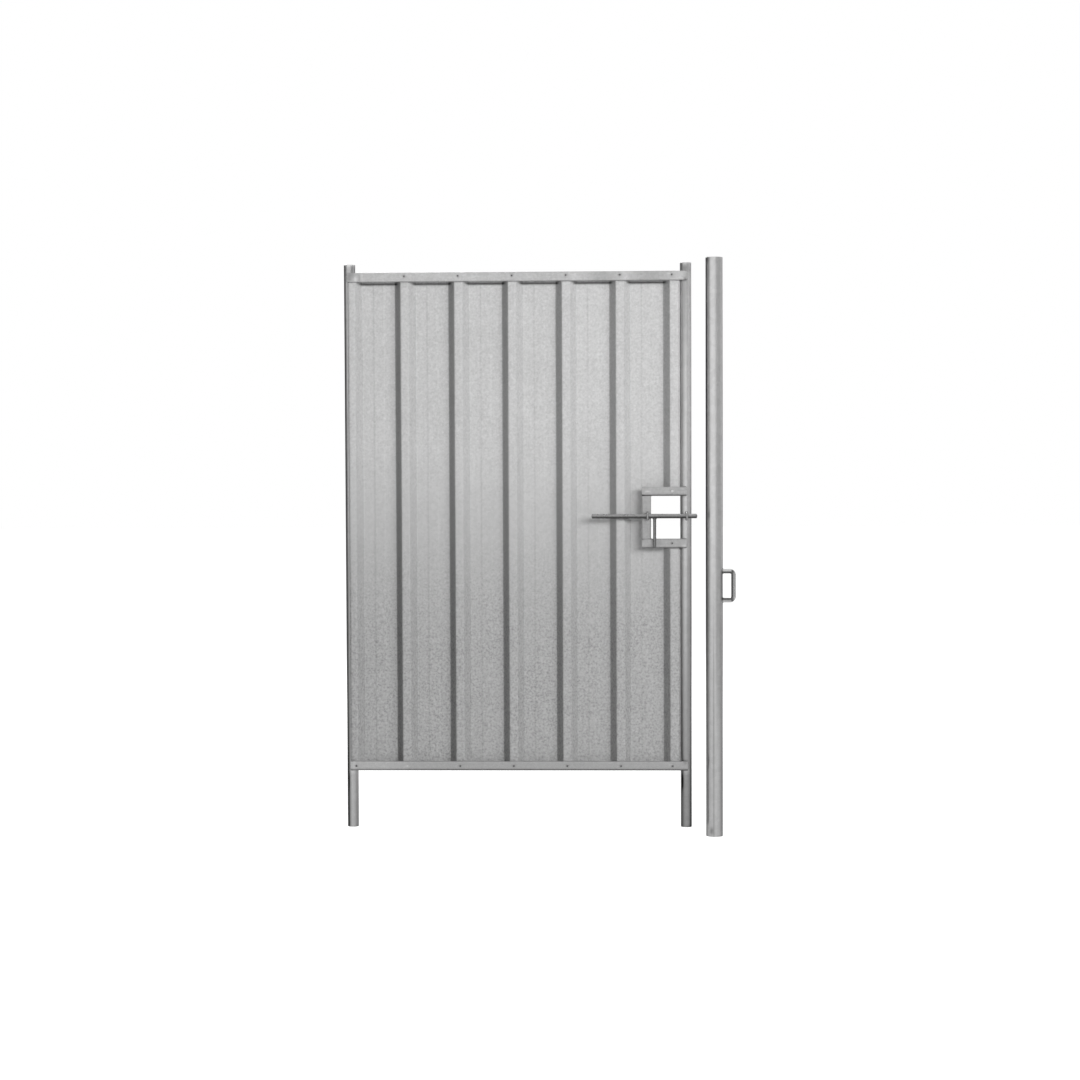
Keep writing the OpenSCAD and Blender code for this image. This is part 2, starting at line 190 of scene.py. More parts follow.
# The look of zinc on steel. Spangle is the crystal pattern that hot-dip zinc freezes in,
# grain its orange-peel surface, cloud the dull patches of its oxide skin, and lines are the
# faint marks that rolling leaves along the steel. Spangle and grain are drawn coarser than
# they are, so that they show.
def zincCoat(name, look):
    material = bpy.data.materials.new(name)
    tree = emptyTree(material)
    place = addNode(tree, "TexCoord").outputs["Object"]
    cells = addNode(tree, "TexVoronoi", {"Vector": place, "Scale": 1 / (look["spangle"] * mm)})
    cellShade = addNode(tree, "SeparateColor", {"Color": cells.outputs["Color"]})
    patterns = {"spangle": cellShade.outputs["Red"]}
    # the lines are noise drawn out fifty times along the piece
    squeezed = [0.02 if way == look["linesAlong"] else 1 for way in range(3)]
    drawnOut = addNode(tree, "Mapping", {"Vector": place, "Scale": squeezed}).outputs["Vector"]
    for kind, vector, detail, roughness in (
            ("grain", place, 2.0, 0.6), ("cloud", place, 4.0, 0.6), ("lines", drawnOut, 3.0, 0.7)):
        patterns[kind] = addNode(tree, "TexNoise", {
            "Vector": vector, "Scale": 1 / (look[kind] * mm),
            "Detail": detail, "Roughness": roughness}).outputs["Fac"]

    # shade: halfway from dark to light, and each pattern's offset times its share
    shade = 0.5
    for kind, pattern in patterns.items():
        off = addNode(tree, "Math", {0: pattern, 1: 0.5}, operation="SUBTRACT").outputs[0]
        shade = addNode(tree, "Math", {
            0: off, 1: look[kind + "Shade"], 2: shade}, operation="MULTIPLY_ADD").outputs[0]
    colour = addNode(tree, "Mix", {
        "Factor": shade, 6: linearColour(look["dark"]), 7: linearColour(look["light"])},
        data_type="RGBA").outputs[2]

    # grime and painted shade darken the lower part: their share rises as the height falls, patchy by the
    # cloud and speckled by the grain, whose noise lies mostly between 0.3 and 0.7
    height = addNode(tree, "SeparateXYZ", {"Vector": place}).outputs["Z"]
    grimeAndShade = addNode(tree, "MapRange", {
        "Value": height, "From Min": look["grimeAndShadeTop"], "From Max": look["grimeAndShadeFoot"],
        "To Min": 0.0, "To Max": look["grimeAndShade"]}, interpolation_type="SMOOTHSTEP").outputs[0]
    patchy = addNode(tree, "Math", {
        0: patterns["cloud"], 1: 0.5, 2: 0.75}, operation="MULTIPLY_ADD").outputs[0]
    specks = addNode(tree, "MapRange", {
        "Value": patterns["grain"], "From Min": 0.3, "From Max": 0.7,
        "To Min": look["speckLow"], "To Max": look["speckHigh"]}).outputs[0]
    for factor in (patchy, specks):
        grimeAndShade = addNode(tree, "Math", {0: grimeAndShade, 1: factor}, operation="MULTIPLY").outputs[0]
    colour = addNode(tree, "Mix", {
        "Factor": grimeAndShade, 6: colour, 7: linearColour(look["grimeAndShadeColour"])}, data_type="RGBA").outputs[2]

    # the piece's tone: above zero for scraped zinc, zinc spray or a painted highlight, below for scuffs, dirt
    # or painted shade
    tone = addNode(tree, "Attribute", attribute_name="tone").outputs["Fac"]
    raised = addNode(tree, "Math", {0: tone, 1: 1.0}, operation="ADD").outputs[0]
    colour = addNode(tree, "VectorMath", {0: colour, "Scale": raised}, operation="SCALE").outputs[0]

    smoothest = look["rough"] - look["roughSpread"] / 2
    rough = addNode(tree, "Math", {
        0: patterns["cloud"], 1: look["roughSpread"], 2: smoothest}, operation="MULTIPLY_ADD").outputs[0]
    relief = patterns["grain"]
    for kind in ("spangle", "lines"):
        relief = addNode(tree, "Math", {
            0: patterns[kind], 1: look[kind + "Relief"], 2: relief}, operation="MULTIPLY_ADD").outputs[0]
    bump = addNode(tree, "Bump", {
        "Height": relief, "Distance": look["relief"] * mm, "Strength": 1.0}).outputs["Normal"]
    shader = addNode(tree, "BsdfPrincipled", {
        "Base Color": colour, "Metallic": look["metallic"], "Roughness": rough, "Normal": bump})
    addNode(tree, "OutputMaterial", {"Surface": shader.outputs["BSDF"]})
    return material


zincBasics = {
    "spangle": 9, "grain": 3.5, "cloud": 180, "lines": 6, "linesAlong": 2,  # sizes in mm
    "spangleShade": 0.25, "grainShade": 0.3, "cloudShade": 0.5, "linesShade": 0.35,
    "dark": "#8e8e8e", "light": "#b4b4b4",
    "grimeAndShade": 0.9, "grimeAndShadeTop": 1.27, "grimeAndShadeFoot": 0.6, "grimeAndShadeColour": "#8a8a8a",  # grime and painted shade low down; heights in metres
    "speckLow": 0.55, "speckHigh": 1.25,
    "rough": 0.5, "roughSpread": 0.12, "metallic": 0.55,
    "relief": 0.1, "spangleRelief": 0.35, "linesRelief": 0.3,
}
# cold-rolled steel sheet, hot-dip galvanised: pale grey, satin, mottled by grain, dirtier and painted darker
# as shade low down
galvanisedSheet = zincCoat("galvanisedSheet", zincBasics | {
    "grain": 7.5, "grainShade": 1.2, "linesShade": 0.25, "linesRelief": 0.08, "relief": 0.25,
    "dark": "#aeaeae", "light": "#d0d0d0", "rough": 0.52, "metallic": 0.32,
    "grimeAndShade": 0.56, "grimeAndShadeTop": 1.5, "grimeAndShadeFoot": 0.62, "grimeAndShadeColour": "#8e8e8e",
    "speckLow": 0.25, "speckHigh": 1.75})
# welded steel tube with a drawn zinc skin: bright and smooth, with lines along it
galvanisedTube = zincCoat("galvanisedTube", zincBasics | {
    "spangle": 14, "lines": 4, "linesShade": 0.6, "relief": 0.012, "dark": "#bcbcbc", "light": "#e0e0e0",
    "rough": 0.3, "roughSpread": 0.08, "metallic": 0.92, "grimeAndShade": 0.25, "grimeAndShadeColour": "#8c8c8c"})
# thin box section, galvanised and handled: duller, with scratches along it
galvanisedSection = zincCoat("galvanisedSection", zincBasics | {
    "spangle": 7, "cloud": 60, "dark": "#a0a0a0", "light": "#cccccc", "rough": 0.46, "metallic": 0.6,
    "linesAlong": 0, "lines": 2.5, "linesShade": 0.5, "relief": 0.12, "grimeAndShade": 0.7, "grimeAndShadeColour": "#9c9c9c"})
# bent round steel rod with a thick dip of zinc: bright, with a lumpy shine
dippedRod = zincCoat("dippedRod", zincBasics | {
    "spangle": 5, "cloud": 25, "dark": "#c0c0c0", "light": "#e8e8e8", "rough": 0.26, "metallic": 0.92,
    "relief": 0.15, "grimeAndShade": 0.3})
# drawn round bar, its zinc worn off by sliding: darker, with scrape lines along it
wornBar = zincCoat("wornBar", zincBasics | {
    "spangle": 4, "cloud": 30, "dark": "#5e5e5e", "light": "#969696", "rough": 0.28, "metallic": 0.92,
    "linesAlong": 0, "lines": 1.5, "linesShade": 0.6, "relief": 0.05, "grimeAndShade": 0.0})
# aluminium blind rivets, pressed and weathered: small dull pale heads
rivetAluminium = zincCoat("rivetAluminium", zincBasics | {
    "spangle": 2, "cloud": 12, "dark": "#989898", "light": "#c4c4c4", "rough": 0.42, "metallic": 0.7,
    "relief": 0.03, "grimeAndShade": 0.4, "grimeAndShadeColour": "#7c7c7c"})
# weld metal brushed over with zinc spray: rough and blotchy
sprayedWeld = zincCoat("sprayedWeld", zincBasics | {
    "spangle": 2.5, "grain": 1.2, "cloud": 9, "dark": "#7c7c7c", "light": "#d2d2d2", "cloudShade": 1.6,
    "rough": 0.55, "metallic": 0.5, "relief": 0.25})
print("materials made")

postLow, postHigh = map(np.array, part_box("latch_post"))
hingeLow, hingeHigh = map(np.array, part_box("hinge_stile"))
latchLow, latchHigh = map(np.array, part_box("latch_stile"))
hingeAxis = (hingeLow + hingeHigh) / 2
leafFoot = hingeLow[2]

# sizes in mm; the waver's length is in radii across and, times waverRise, in metres upwards
tubeBasics = {"wall": 2, "rim": 1, "innerRows": 24, "waverLength": 0.9, "waverRise": 1.4}


# A standing tube: its wall's section (outer face, rounded rim, inner face, rounded rim)
# turned round the upright axis. Marks press the face in and change its tone by their
# amount x exp(-(turn / width)^2 - (rise / height)^2).
def standingTube(low, high, tube):
    centre, radius = (low + high) / 2, (high - low)[:2].min() / 2
    wall, rim = tube["wall"] * mm, tube["rim"] * mm
    edge = np.linspace(0, math.pi / 2, 5)
    outerRise = np.linspace(low[2] + rim, high[2] - rim, tube["rows"])
    innerRise = np.linspace(high[2] - rim, low[2] + rim, tube["innerRows"])
    inner = radius - wall
    away = np.concatenate([
        radius + 0 * outerRise, radius - rim + rim * np.cos(edge), inner + rim - rim * np.cos(edge[::-1]),
        inner + 0 * innerRise, inner + rim - rim * np.cos(edge), radius - rim + rim * np.cos(edge[::-1])])
    rise = np.concatenate([
        outerRise, high[2] - rim + rim * np.sin(edge), high[2] - rim + rim * np.sin(edge[::-1]),
        innerRise, low[2] + rim - rim * np.sin(edge), low[2] + rim - rim * np.sin(edge[::-1])])
    turn = np.linspace(0, fullTurn, tube["sides"], endpoint=False)[None, :]
    face = (np.arange(len(away)) < tube["rows"])[:, None]
    roundAndUp = np.stack(np.broadcast_arrays(
        np.cos(turn), np.sin(turn), rise[:, None] * tube["waverRise"]), axis=-1)
    waver = unevenness(roundAndUp, tube["waverLength"], tube["seed"])
    press = tube["waver"] * mm * (1 + waver) / 2 * face
    tone = 0 * press
    for mark in tube["marks"]:
        off = (turn - math.radians(mark["turn"]) + math.pi) % fullTurn - math.pi
        spread = np.exp(-(off * radius / (mark["width"] * mm)) ** 2
                        - ((rise[:, None] - mark["rise"]) / (mark["height"] * mm)) ** 2) * face
        press = press + mark.get("press", 0) * mm * spread
        tone = tone + mark.get("tone", 0) * spread
    reach = away[:, None] - press
    points = np.stack(np.broadcast_arrays(
        centre[0] + reach * np.cos(turn), centre[1] + reach * np.sin(turn), rise[:, None]), axis=-1)
    return gridShape(points, wrapRows=True, wrapColumns=True), tone


latchPost = tubeBasics | {
    "rows": 260, "sides": 96, "waver": 0.25, "seed": 11,
    # A dent near the foot, a dark drip, a lighter strip low on the front, and painted shade down both sides.
    # Turn is in degrees from +X, so 270 faces forwards, rise in metres, and the other sizes in mm.
    "marks": [
        {"turn": 246, "rise": 0.02, "width": 7, "height": 12, "press": 1.2, "tone": -0.55},
        {"turn": 262, "rise": 0.35, "width": 2.6, "height": 460, "press": 0.2, "tone": -0.4},
        {"turn": 285, "rise": 0.25, "width": 9, "height": 260, "tone": 0.12},
        {"turn": 335, "rise": 0.1, "width": 14, "height": 800, "tone": -0.6},
        {"turn": 348, "rise": 1.8, "width": 6, "height": 1100, "tone": -0.5},
        {"turn": 196, "rise": 1.2, "width": 10, "height": 3000, "tone": -0.7},
    ],
}
stile = tubeBasics | {
    "rows": 240, "sides": 80, "waver": 0.2,
    "marks": [  # on both: knocks and spray on the legs, handled upper ends, painted shade down the legs' sides
        {"turn": 270, "rise": leafFoot + 0.2, "width": 12, "height": 8, "tone": 0.3},
        {"turn": 225, "rise": leafFoot + 0.165, "width": 5, "height": 30, "tone": -0.5},
        {"turn": 300, "rise": leafFoot + 0.003, "width": 9, "height": 5, "press": 1.5, "tone": -0.2},
        {"turn": 280, "rise": leafFoot + 1.98, "width": 22, "height": 12, "tone": -0.3},
        {"turn": 285, "rise": leafFoot + 1.999, "width": 30, "height": 3, "tone": 0.3},
        {"turn": 215, "rise": leafFoot, "width": 9, "height": 500, "tone": -0.5},
        {"turn": 325, "rise": leafFoot, "width": 9, "height": 300, "tone": -0.5},
    ],
}
# painted shade down the hinge stile's outer side; on the latch stile, its lower leg darker, a painted
# highlight down its right front, a dark patch near its top and painted shade down its left side
hingeShadeMarks = [{"turn": 216, "rise": leafFoot, "width": 11, "height": 1400, "tone": -0.7}]
latchShadeAndHighlightMarks = [
    {"turn": 280, "rise": leafFoot, "width": 60, "height": 750, "tone": -0.38},
    {"turn": 314, "rise": leafFoot + 1.65, "width": 9, "height": 520, "tone": 0.6},
    {"turn": 262, "rise": leafFoot + 1.9, "width": 10, "height": 220, "tone": -0.3},
    {"turn": 235, "rise": leafFoot + 1.45, "width": 9, "height": 620, "tone": -0.3},
]
shape, tone = standingTube(postLow, postHigh, latchPost)
makePiece("latchPostTube", [shape], galvanisedTube, "post", ["latch_post"], tone)
for name, node, low, high, ownMarks, seed in (
        ("hingeStileTube", "hinge_stile", hingeLow, hingeHigh, hingeShadeMarks, 5),
        ("latchStileTube", "latch_stile", latchLow, latchHigh, latchShadeAndHighlightMarks, 8)):
    shape, tone = standingTube(low, high, stile | {"seed": seed, "marks": stile["marks"] + ownMarks})
    makePiece(name, [shape], galvanisedTube, "leaf", [node], tone)
print("tubes made")

# The profiled sheet, in mm. Crests stand in front, pans lie behind, and each pan has one
# low bead. The first crest's middle is measured from the hinge stile's axis, and the lip
# is the sheet's last edge, bent back beside the latch stile.
profile = {
    "pans": 6, "crestWidth": 28, "webRun": 22.5, "beadWidth": 41, "beadHeight": 1.5, "beadRun": 4,
    "thickness": 0.7, "bendRadius": 3.2, "columnStep": 9, "rowStep": 22, "firstCrest": 6.5, "lipRun": 8.3,
    "lipLean": 0.59, "hatchTuck": 8, "leastStep": 0.3,
    "panWaver": 0.9, "panWaverLength": 900, "edgeWaver": 1.6, "edgeWaverLength": 500, "edgeReach": 50,
    "waverAcross": 4,  # how much faster the sheet wavers across its line than up it
    "shadowLine": 4.5, "shadowTone": -0.85, "shadowStep": 2.5,  # a painted shadow line below the top rail, on the pans
    "webTones": (-0.45, -0.12),  # painted shade on the web at each crest's left, from the first to the last
}
sheetLow, sheetHigh = map(np.array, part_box("profiled_sheet"))
jambLow, jambHigh = map(np.array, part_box("hatch_jamb"))
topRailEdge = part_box("top_rail")[0][2]
crestBack = sheetLow[1] + profile["thickness"] * mm
panBack = sheetHigh[1]
firstCrest = hingeAxis[0] + profile["firstCrest"] * mm
lipEnd = sheetHigh[0] - profile["lipLean"] * mm  # the lip's thickness leans past its edge
lastCrest = lipEnd - (profile["lipRun"] + profile["crestWidth"] / 2) * mm
crests = np.linspace(firstCrest, lastCrest, profile["pans"] + 1)


# Corners of the line: each pan adds eight, between a crest's right and the next's left
def sheetCorners():
    half = profile["crestWidth"] / 2 * mm
    left, right = crests[:-1] + half, crests[1:] - half
    middle, bead = (left + right) / 2, profile["beadWidth"] / 2 * mm
    run, web = profile["beadRun"] * mm, profile["webRun"] * mm
    raised = panBack - profile["beadHeight"] * mm
    x = np.stack([left, left + web, middle - bead, middle - bead + run,
                  middle + bead - run, middle + bead, right - web, right], axis=1).ravel()
    y = np.tile([crestBack, panBack, panBack, raised, raised, panBack, panBack, crestBack], profile["pans"])
    lipY = crestBack + profile["lipRun"] / profile["webRun"] * (panBack - crestBack)
    x = np.concatenate([[sheetLow[0]], x, [crests[-1] + half, lipEnd]])
    y = np.concatenate([[crestBack], y, [crestBack, lipY]])
    return np.stack([x, y], axis=1)


# The line with its bends rounded: at each corner B(t) = (1-t)^2 A + 2 t (1-t) P + t^2 C,
# where A and C lie on the two flats one cut from the corner P, and short of their middles
def roundedBends(corners, cutLength, largestShare=0.45):
    before, corner, after = corners[:-2], corners[1:-1], corners[2:]
    inLength = np.linalg.norm(corner - before, axis=1, keepdims=True)
    outLength = np.linalg.norm(after - corner, axis=1, keepdims=True)
    start = corner - (corner - before) * np.minimum(cutLength / inLength, largestShare)
    end = corner + (after - corner) * np.minimum(cutLength / outLength, largestShare)
    t = np.linspace(0, 1, 4)[None, :, None]
    bends = (1 - t) ** 2 * start[:, None] + 2 * t * (1 - t) * corner[:, None] + t ** 2 * end[:, None]
    return np.vstack([corners[:1], bends.reshape(-1, 2), corners[-1:]])


# Places along the line and rows up the sheet: even steps, with the bends and the notch's
# edges among them, and close rows at the top rail's lower edge for the painted shadow there
def sheetGrid(line, notchX, notchRows):
    steps = np.concatenate([[0], np.cumsum(np.linalg.norm(np.diff(line, axis=0), axis=1))])
    even = np.arange(0, steps[-1], profile["columnStep"] * mm)
    notchPlace = np.interp(notchX, line[:, 0], steps)
    places = np.unique(np.round(np.concatenate([steps, even, [notchPlace]]), 7))
    places = places[np.concatenate([[True], np.diff(places) > profile["leastStep"] * mm])]
    x, y = np.interp(places, steps, line[:, 0]), np.interp(places, steps, line[:, 1])
    rowCount = round((sheetHigh[2] - sheetLow[2]) / (profile["rowStep"] * mm))
    rows = np.linspace(sheetLow[2], sheetHigh[2], rowCount)
    nearRail = topRailEdge + np.arange(-6, 3) * profile["shadowStep"] * mm
    return x, y, np.unique(np.concatenate([rows, notchRows, nearRail]))


# Painted shade on the sheet: a shadow line d under the top rail on the pans, exp(-(height / d + 1)^2), and
# shade on the web at each crest's left, exp(-(offset / half a web)^6)
def sheetPaintedShade(x, z, depthShare):
    shadowLine = profile["shadowLine"] * mm
    below = (z[:, None] - topRailEdge + shadowLine) / shadowLine
    lineTone = profile["shadowTone"] * np.exp(-below ** 2) * np.clip(depthShare * 2 - 0.6, 0, 1)
    shadedWebs = crests[1:] - (profile["crestWidth"] + profile["webRun"]) / 2 * mm
    offWeb = np.abs(x[:, None] - shadedWebs).min(axis=1) / (profile["webRun"] / 2 * mm)
    webTone = np.interp(x, [crests[0], crests[-1]], profile["webTones"]) * np.exp(-offWeb ** 6)
    return lineTone + webTone[None, :]


# The sheet: its line drawn upwards, y(x, z) = line - waver x depth share. The waver is soft
# all over, and stronger at the two ends by exp(-(distance / reach)^2). Faces inside the
# hatch's notch are left out, and Solidify gives the thickness.
def sheetSurface():
    line = roundedBends(sheetCorners(), profile["bendRadius"] * mm)
    tuck = profile["hatchTuck"] * mm
    notchX, notchLow, notchHigh = jambHigh[0] - tuck, jambLow[2] - tuck, jambHigh[2] + tuck
    x, y, z = sheetGrid(line, notchX, [notchLow, notchHigh])
    depthShare = np.clip((y - crestBack) / (panBack - crestBack), 0, 1)[None, :]
    acrossAndUp = np.stack(np.broadcast_arrays(x[None, :] * profile["waverAcross"], z[:, None]), axis=-1)
    soft, strong = [
        profile[kind] * mm * (1 + unevenness(acrossAndUp, profile[kind + "Length"] * mm, seed)) / 2
        for kind, seed in (("panWaver", 3), ("edgeWaver", 4))]
    fromEnd = np.minimum(z - z[0], z[-1] - z)[:, None] / (profile["edgeReach"] * mm)
    forwards = (soft + strong * np.exp(-fromEnd ** 2)) * depthShare
    points = np.stack(np.broadcast_arrays(x[None, :], y[None, :] - forwards, z[:, None]), axis=-1)
    flat, quads = gridShape(points)
    centres = flat[quads].mean(axis=1)
    inNotch = (centres[:, 0] > notchX) & (centres[:, 2] > notchLow) & (centres[:, 2] < notchHigh)
    return (flat, quads[~inNotch][:, ::-1]), sheetPaintedShade(x, z, depthShare)


shape, tone = sheetSurface()
sheetPiece = makePiece("profiledSheetSkin", [shape], galvanisedSheet, "leaf",
                       ["profiled_sheet"], tone, closed=False, sharpAngle=60)
thicken = sheetPiece.modifiers.new("sheetThickness", "SOLIDIFY")
thicken.thickness = profile["thickness"] * mm
thicken.offset = -1
print("sheet made")


# A closed line round a rectangle with rounded corners, as offsets from its middle:
# side x (half size - r) + r (cos a, sin a) at each corner, and even steps between corners
def roundedRectangle(width, height, radius, faceSteps):
    turn = np.linspace(0, math.pi / 2, 5)
    corners = []
    for quarter, (side, end) in enumerate(((1, 1), (-1, 1), (-1, -1), (1, -1))):
        angle = turn + quarter * math.pi / 2
        corners.append(np.stack([
            side * (width / 2 - radius) + radius * np.cos(angle),
            end * (height / 2 - radius) + radius * np.sin(angle)], axis=1))
    corners = np.stack(corners)
    following = np.roll(corners, -1, axis=0)[:, :1]
    t = np.linspace(0, 1, faceSteps)[None, 1:-1, None]
    flats = corners[:, -1:] * (1 - t) + following * t
    return np.concatenate([corners, flats], axis=1).reshape(-1, 2)


section = {
    "wall": 1.5, "round": 3, "hollow": 0.25, "step": 4, "faceSteps": 9,
    "dimple": {"depth": 0.5, "width": 8},  # at each rivet
    "dimpleDirt": {"size": (7, 8, 7), "tone": -0.12},
}


# A box section between two corners: outer line along the bar, inner line back, closed at
# both ends. Its faces are hollow by depth x (1 - (offset / half)^2) and dimpled at rivets
# by depth x exp(-(distance / width)^2). Patches change the tone by exp(-(offset / size)^2).
def boxSection(low, high, way, bar, dimples=(), patches=()):
    first, second = [other for other in range(3) if other != way]
    size, middle = high - low, (low + high) / 2
    wall, radius = bar["wall"] * mm, bar["round"] * mm
    outer = roundedRectangle(size[first], size[second], radius, bar["faceSteps"])
    inner = roundedRectangle(size[first] - 2 * wall, size[second] - 2 * wall, radius - wall, bar["faceSteps"])
    run = np.linspace(low[way], high[way], max(3, round(size[way] / (bar["step"] * mm))))
    along = np.concatenate([run, run[::-1]])
    isOuter = np.concatenate([run * 0 + 1, run * 0])[:, None, None]
    line = outer[None] * isOuter + inner[None] * (1 - isOuter)
    points = np.zeros((len(along), len(outer), 3))
    points[..., way] = along[:, None]
    points[..., first] = middle[first] + line[..., 0]
    points[..., second] = middle[second] + line[..., 1]
    face = isOuter[..., 0] * (np.abs(outer[:, 1]) < size[second] / 2 - radius)[None, :]
    acrossFace = np.clip(2 * outer[:, 1] / size[second], -1, 1)[None, :]
    inwards = bar["hollow"] * mm * (1 - acrossFace ** 2) * face
    tone = 0 * inwards
    for dimple in dimples:
        apart = np.linalg.norm(points - np.array(dimple["at"]), axis=-1)
        inwards = inwards + dimple["depth"] * mm * np.exp(-(apart / (dimple["width"] * mm)) ** 2) * face
    for patch in patches:
        offset = (points - np.array(patch["at"])) / (np.array(patch["size"]) * mm)
        tone = tone + patch["tone"] * np.exp(-(offset ** 2).sum(axis=-1)) * isOuter[..., 0]
    points[..., first] -= np.sign(line[..., 0]) * inwards
    return gridShape(points, wrapRows=True, wrapColumns=True), tone


railBoxes = {name: tuple(map(np.array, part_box(name))) for name in (
    "top_rail", "bottom_rail", "hatch_top_bar", "hatch_bottom_bar", "hatch_jamb")}
railFront = railBoxes["top_rail"][0][1]
railBack = railBoxes["top_rail"][1][1]
rivet = {
    "head": 9, "height": 2.4, "hole": 4.2, "holeDepth": 1.6, "holeEdge": 0.12, "underside": 0.05,
    "tail": 2, "tailSunk": 0.2, "tailRound": 0.9, "rings": 14, "sides": 24,
    "firstShift": 10, "lastShift": 8,  # from the middles of the first and last crests
    # the hole is painted dark as shade, and the head listed below gets a painted highlight all over
    "holeShadeTone": -0.9, "glintTone": 0.7,
    "paintedGlint": {"bottomRailRivetHeads": 1, "hatchRivetHeads": 1},  # which head in the row has a painted highlight
}


# Where the rivets of a rail sit: at the places given, and in the middle of its rivets' height
def rivetPlaces(node, x):
    low, high = map(np.array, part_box(node))
    return [np.array([place, railFront, (low[2] + high[2]) / 2]) for place in x]


crestRivets = np.append(crests[1:-1], crests[-1] - rivet["lastShift"] * mm)
topRivets = rivetPlaces("top_rail_rivets", crestRivets)
bottomRivets = rivetPlaces("bottom_rail_rivets", [crests[0] + rivet["firstShift"] * mm, *crestRivets])
hatchRivets = [np.array([crestRivets[-1], railFront, (railBoxes[bar][0][2] + railBoxes[bar][1][2]) / 2])
               for bar in ("hatch_bottom_bar", "hatch_top_bar")]

railLooks = {
    "top_rail": ("topRailSection", topRivets),
    "bottom_rail": ("bottomRailSection", bottomRivets),
    "hatch_top_bar": ("hatchTopBarSection", hatchRivets[1:]),
    "hatch_bottom_bar": ("hatchBottomBarSection", hatchRivets[:1]),
}
railTones = {
    "top_rail": 0.06, "bottom_rail": 0.02,
    "hatch_top_bar": -0.14, "hatch_bottom_bar": -0.14, "hatch_jamb": -0.22,
}
# Scuffs, spatter and zinc spray on the faces, a painted highlight spot on the bottom rail at x 202, and
# painted shade in long thin lines along the lower edges of the bottom rail and the hatch bars and the upper
# edge of the hatch bottom bar: x and z from the lower left corner in mm, how far each reaches along X, Y and
# Z in mm, and its tone
railMarksAndPaintedShade = {
    "top_rail": [
        (8, 24, (24, 40, 14), -0.4), (30, 10, (4, 40, 12), 0.3), (44, 14, (3, 40, 14), -0.3),
        (54, 16, (4, 40, 14), 0.15), (740, 16, (50, 60, 60), -0.06), (800, 16, (18, 60, 60), 0.08),
        (905, 16, (48, 60, 60), -0.2), (983, 16, (15, 60, 60), 0.1), (1075, 16, (68, 60, 60), -0.24),
        (1172, 16, (12, 60, 60), 0.1), (1205, 14, (18, 40, 18), -0.3), (1138, 22, (9, 40, 2.5), 0.3),
        (1192, 2, (5, 40, 6), -0.5), (8, 8, (9, 40, 9), -0.3)],
    "bottom_rail": [
        (14, 16, (8, 40, 30), 0.22), (90, 16, (120, 60, 60), 0.2), (202, 15, (7, 40, 3), 0.5),
        (1140, 20, (7, 40, 3), 0.35), (1190, 28, (6, 40, 6), -0.35), (600, 0, (4000, 40, 5), -0.95)],
    "hatch_top_bar": [
        (20, 16, (8, 40, 3), 0.35), (110, 18, (4, 40, 3), 0.5),
        (0, 0, (7, 40, 5), -0.4), (80, 0, (400, 40, 5), -0.8)],
    "hatch_bottom_bar": [
        (0, 32, (7, 40, 5), -0.4), (150, 6, (7, 40, 6), 0.3), (60, 16, (8, 40, 12), -0.12),
        (80, 0, (400, 40, 3), -0.5), (80, 33, (400, 40, 3), -0.4)],
}
for node, (name, rivets) in railLooks.items():
    low, high = railBoxes[node]
    dimples = [section["dimple"] | {"at": place} for place in rivets]
    patches = [{"at": (low[0] + x * mm, railFront, low[2] + z * mm), "size": size, "tone": tone}
               for x, z, size, tone in railMarksAndPaintedShade[node]]
    patches += [section["dimpleDirt"] | {"at": place} for place in rivets]
    shape, tone = boxSection(low, high, 0, section, dimples, patches)
    makePiece(name, [shape], galvanisedSection, "leaf", [node], tone + railTones[node])
shape, tone = boxSection(*railBoxes["hatch_jamb"], 2, section | {"hollow": 0})
makePiece("hatchJambSection", [shape], galvanisedSection, "leaf",
          ["hatch_jamb"], tone + railTones["hatch_jamb"])
print("rails and hatch bars made")


# A rivet's head turned round the -Y axis: h(r) = H (1 - (r / R)^2)^0.55, less the pulled
# stem's hole, depth / (1 + exp((r - hole radius) / edge)). Its hole is painted dark as shade, and a head
# with a painted highlight is bright all over.
def rivetHead(place, paintedGlint):
    radius, height = rivet["head"] / 2 * mm, rivet["height"] * mm
    r = radius * np.sin(np.linspace(0, math.pi / 2, rivet["rings"]))
    hole = 1 / (1 + np.exp((r - rivet["hole"] / 2 * mm) / (rivet["holeEdge"] * mm)))
    h = height * (1 - (r / radius) ** 2) ** 0.55 - rivet["holeDepth"] * mm * hole
    r, h, hole = np.append(r, 0), np.append(h, -rivet["underside"] * mm), np.append(hole, 1)
    turn = np.linspace(0, fullTurn, rivet["sides"], endpoint=False)
    points = place + np.stack(np.broadcast_arrays(
        r[:, None] * np.cos(turn), -h[:, None], r[:, None] * np.sin(turn)), axis=-1)
    tone = rivet["glintTone"] + 0 * hole if paintedGlint else rivet["holeShadeTone"] * hole
    return gridShape(points, wrapColumns=True), np.repeat(tone, rivet["sides"])


# A rivet's plain tail behind the sheet: a short rod with rounded ends
def rivetTail(place):
    start = np.array([place[0], crestBack - rivet["tailSunk"] * mm, place[2]])
    end = np.array([place[0], crestBack + rivet["tail"] * mm, place[2]])
    route = np.array([start, end])
    shape = rod(route, rivet["head"] / 2 * mm, ways[0], rivet["tailRound"] * mm, sides=20, step=1 * mm)
    return shape, np.zeros(len(shape[0]))


for name, node, places, tails in (
        ("topRailRivetHeads", "top_rail_rivets", topRivets, topRivets),
        ("bottomRailRivetHeads", "bottom_rail_rivets", bottomRivets, bottomRivets[1:]),
        ("hatchRivetHeads", "hatch_rivets", hatchRivets, hatchRivets)):
    paintedGlint = rivet["paintedGlint"].get(name)
    parts = [rivetHead(place, count == paintedGlint) for count, place in enumerate(places)]
    parts += [rivetTail(place) for place in tails]
    shapes, tones = zip(*parts)
    makePiece(name, shapes, rivetAluminium, "leaf", [node], np.concatenate(tones))
print("rivets made")

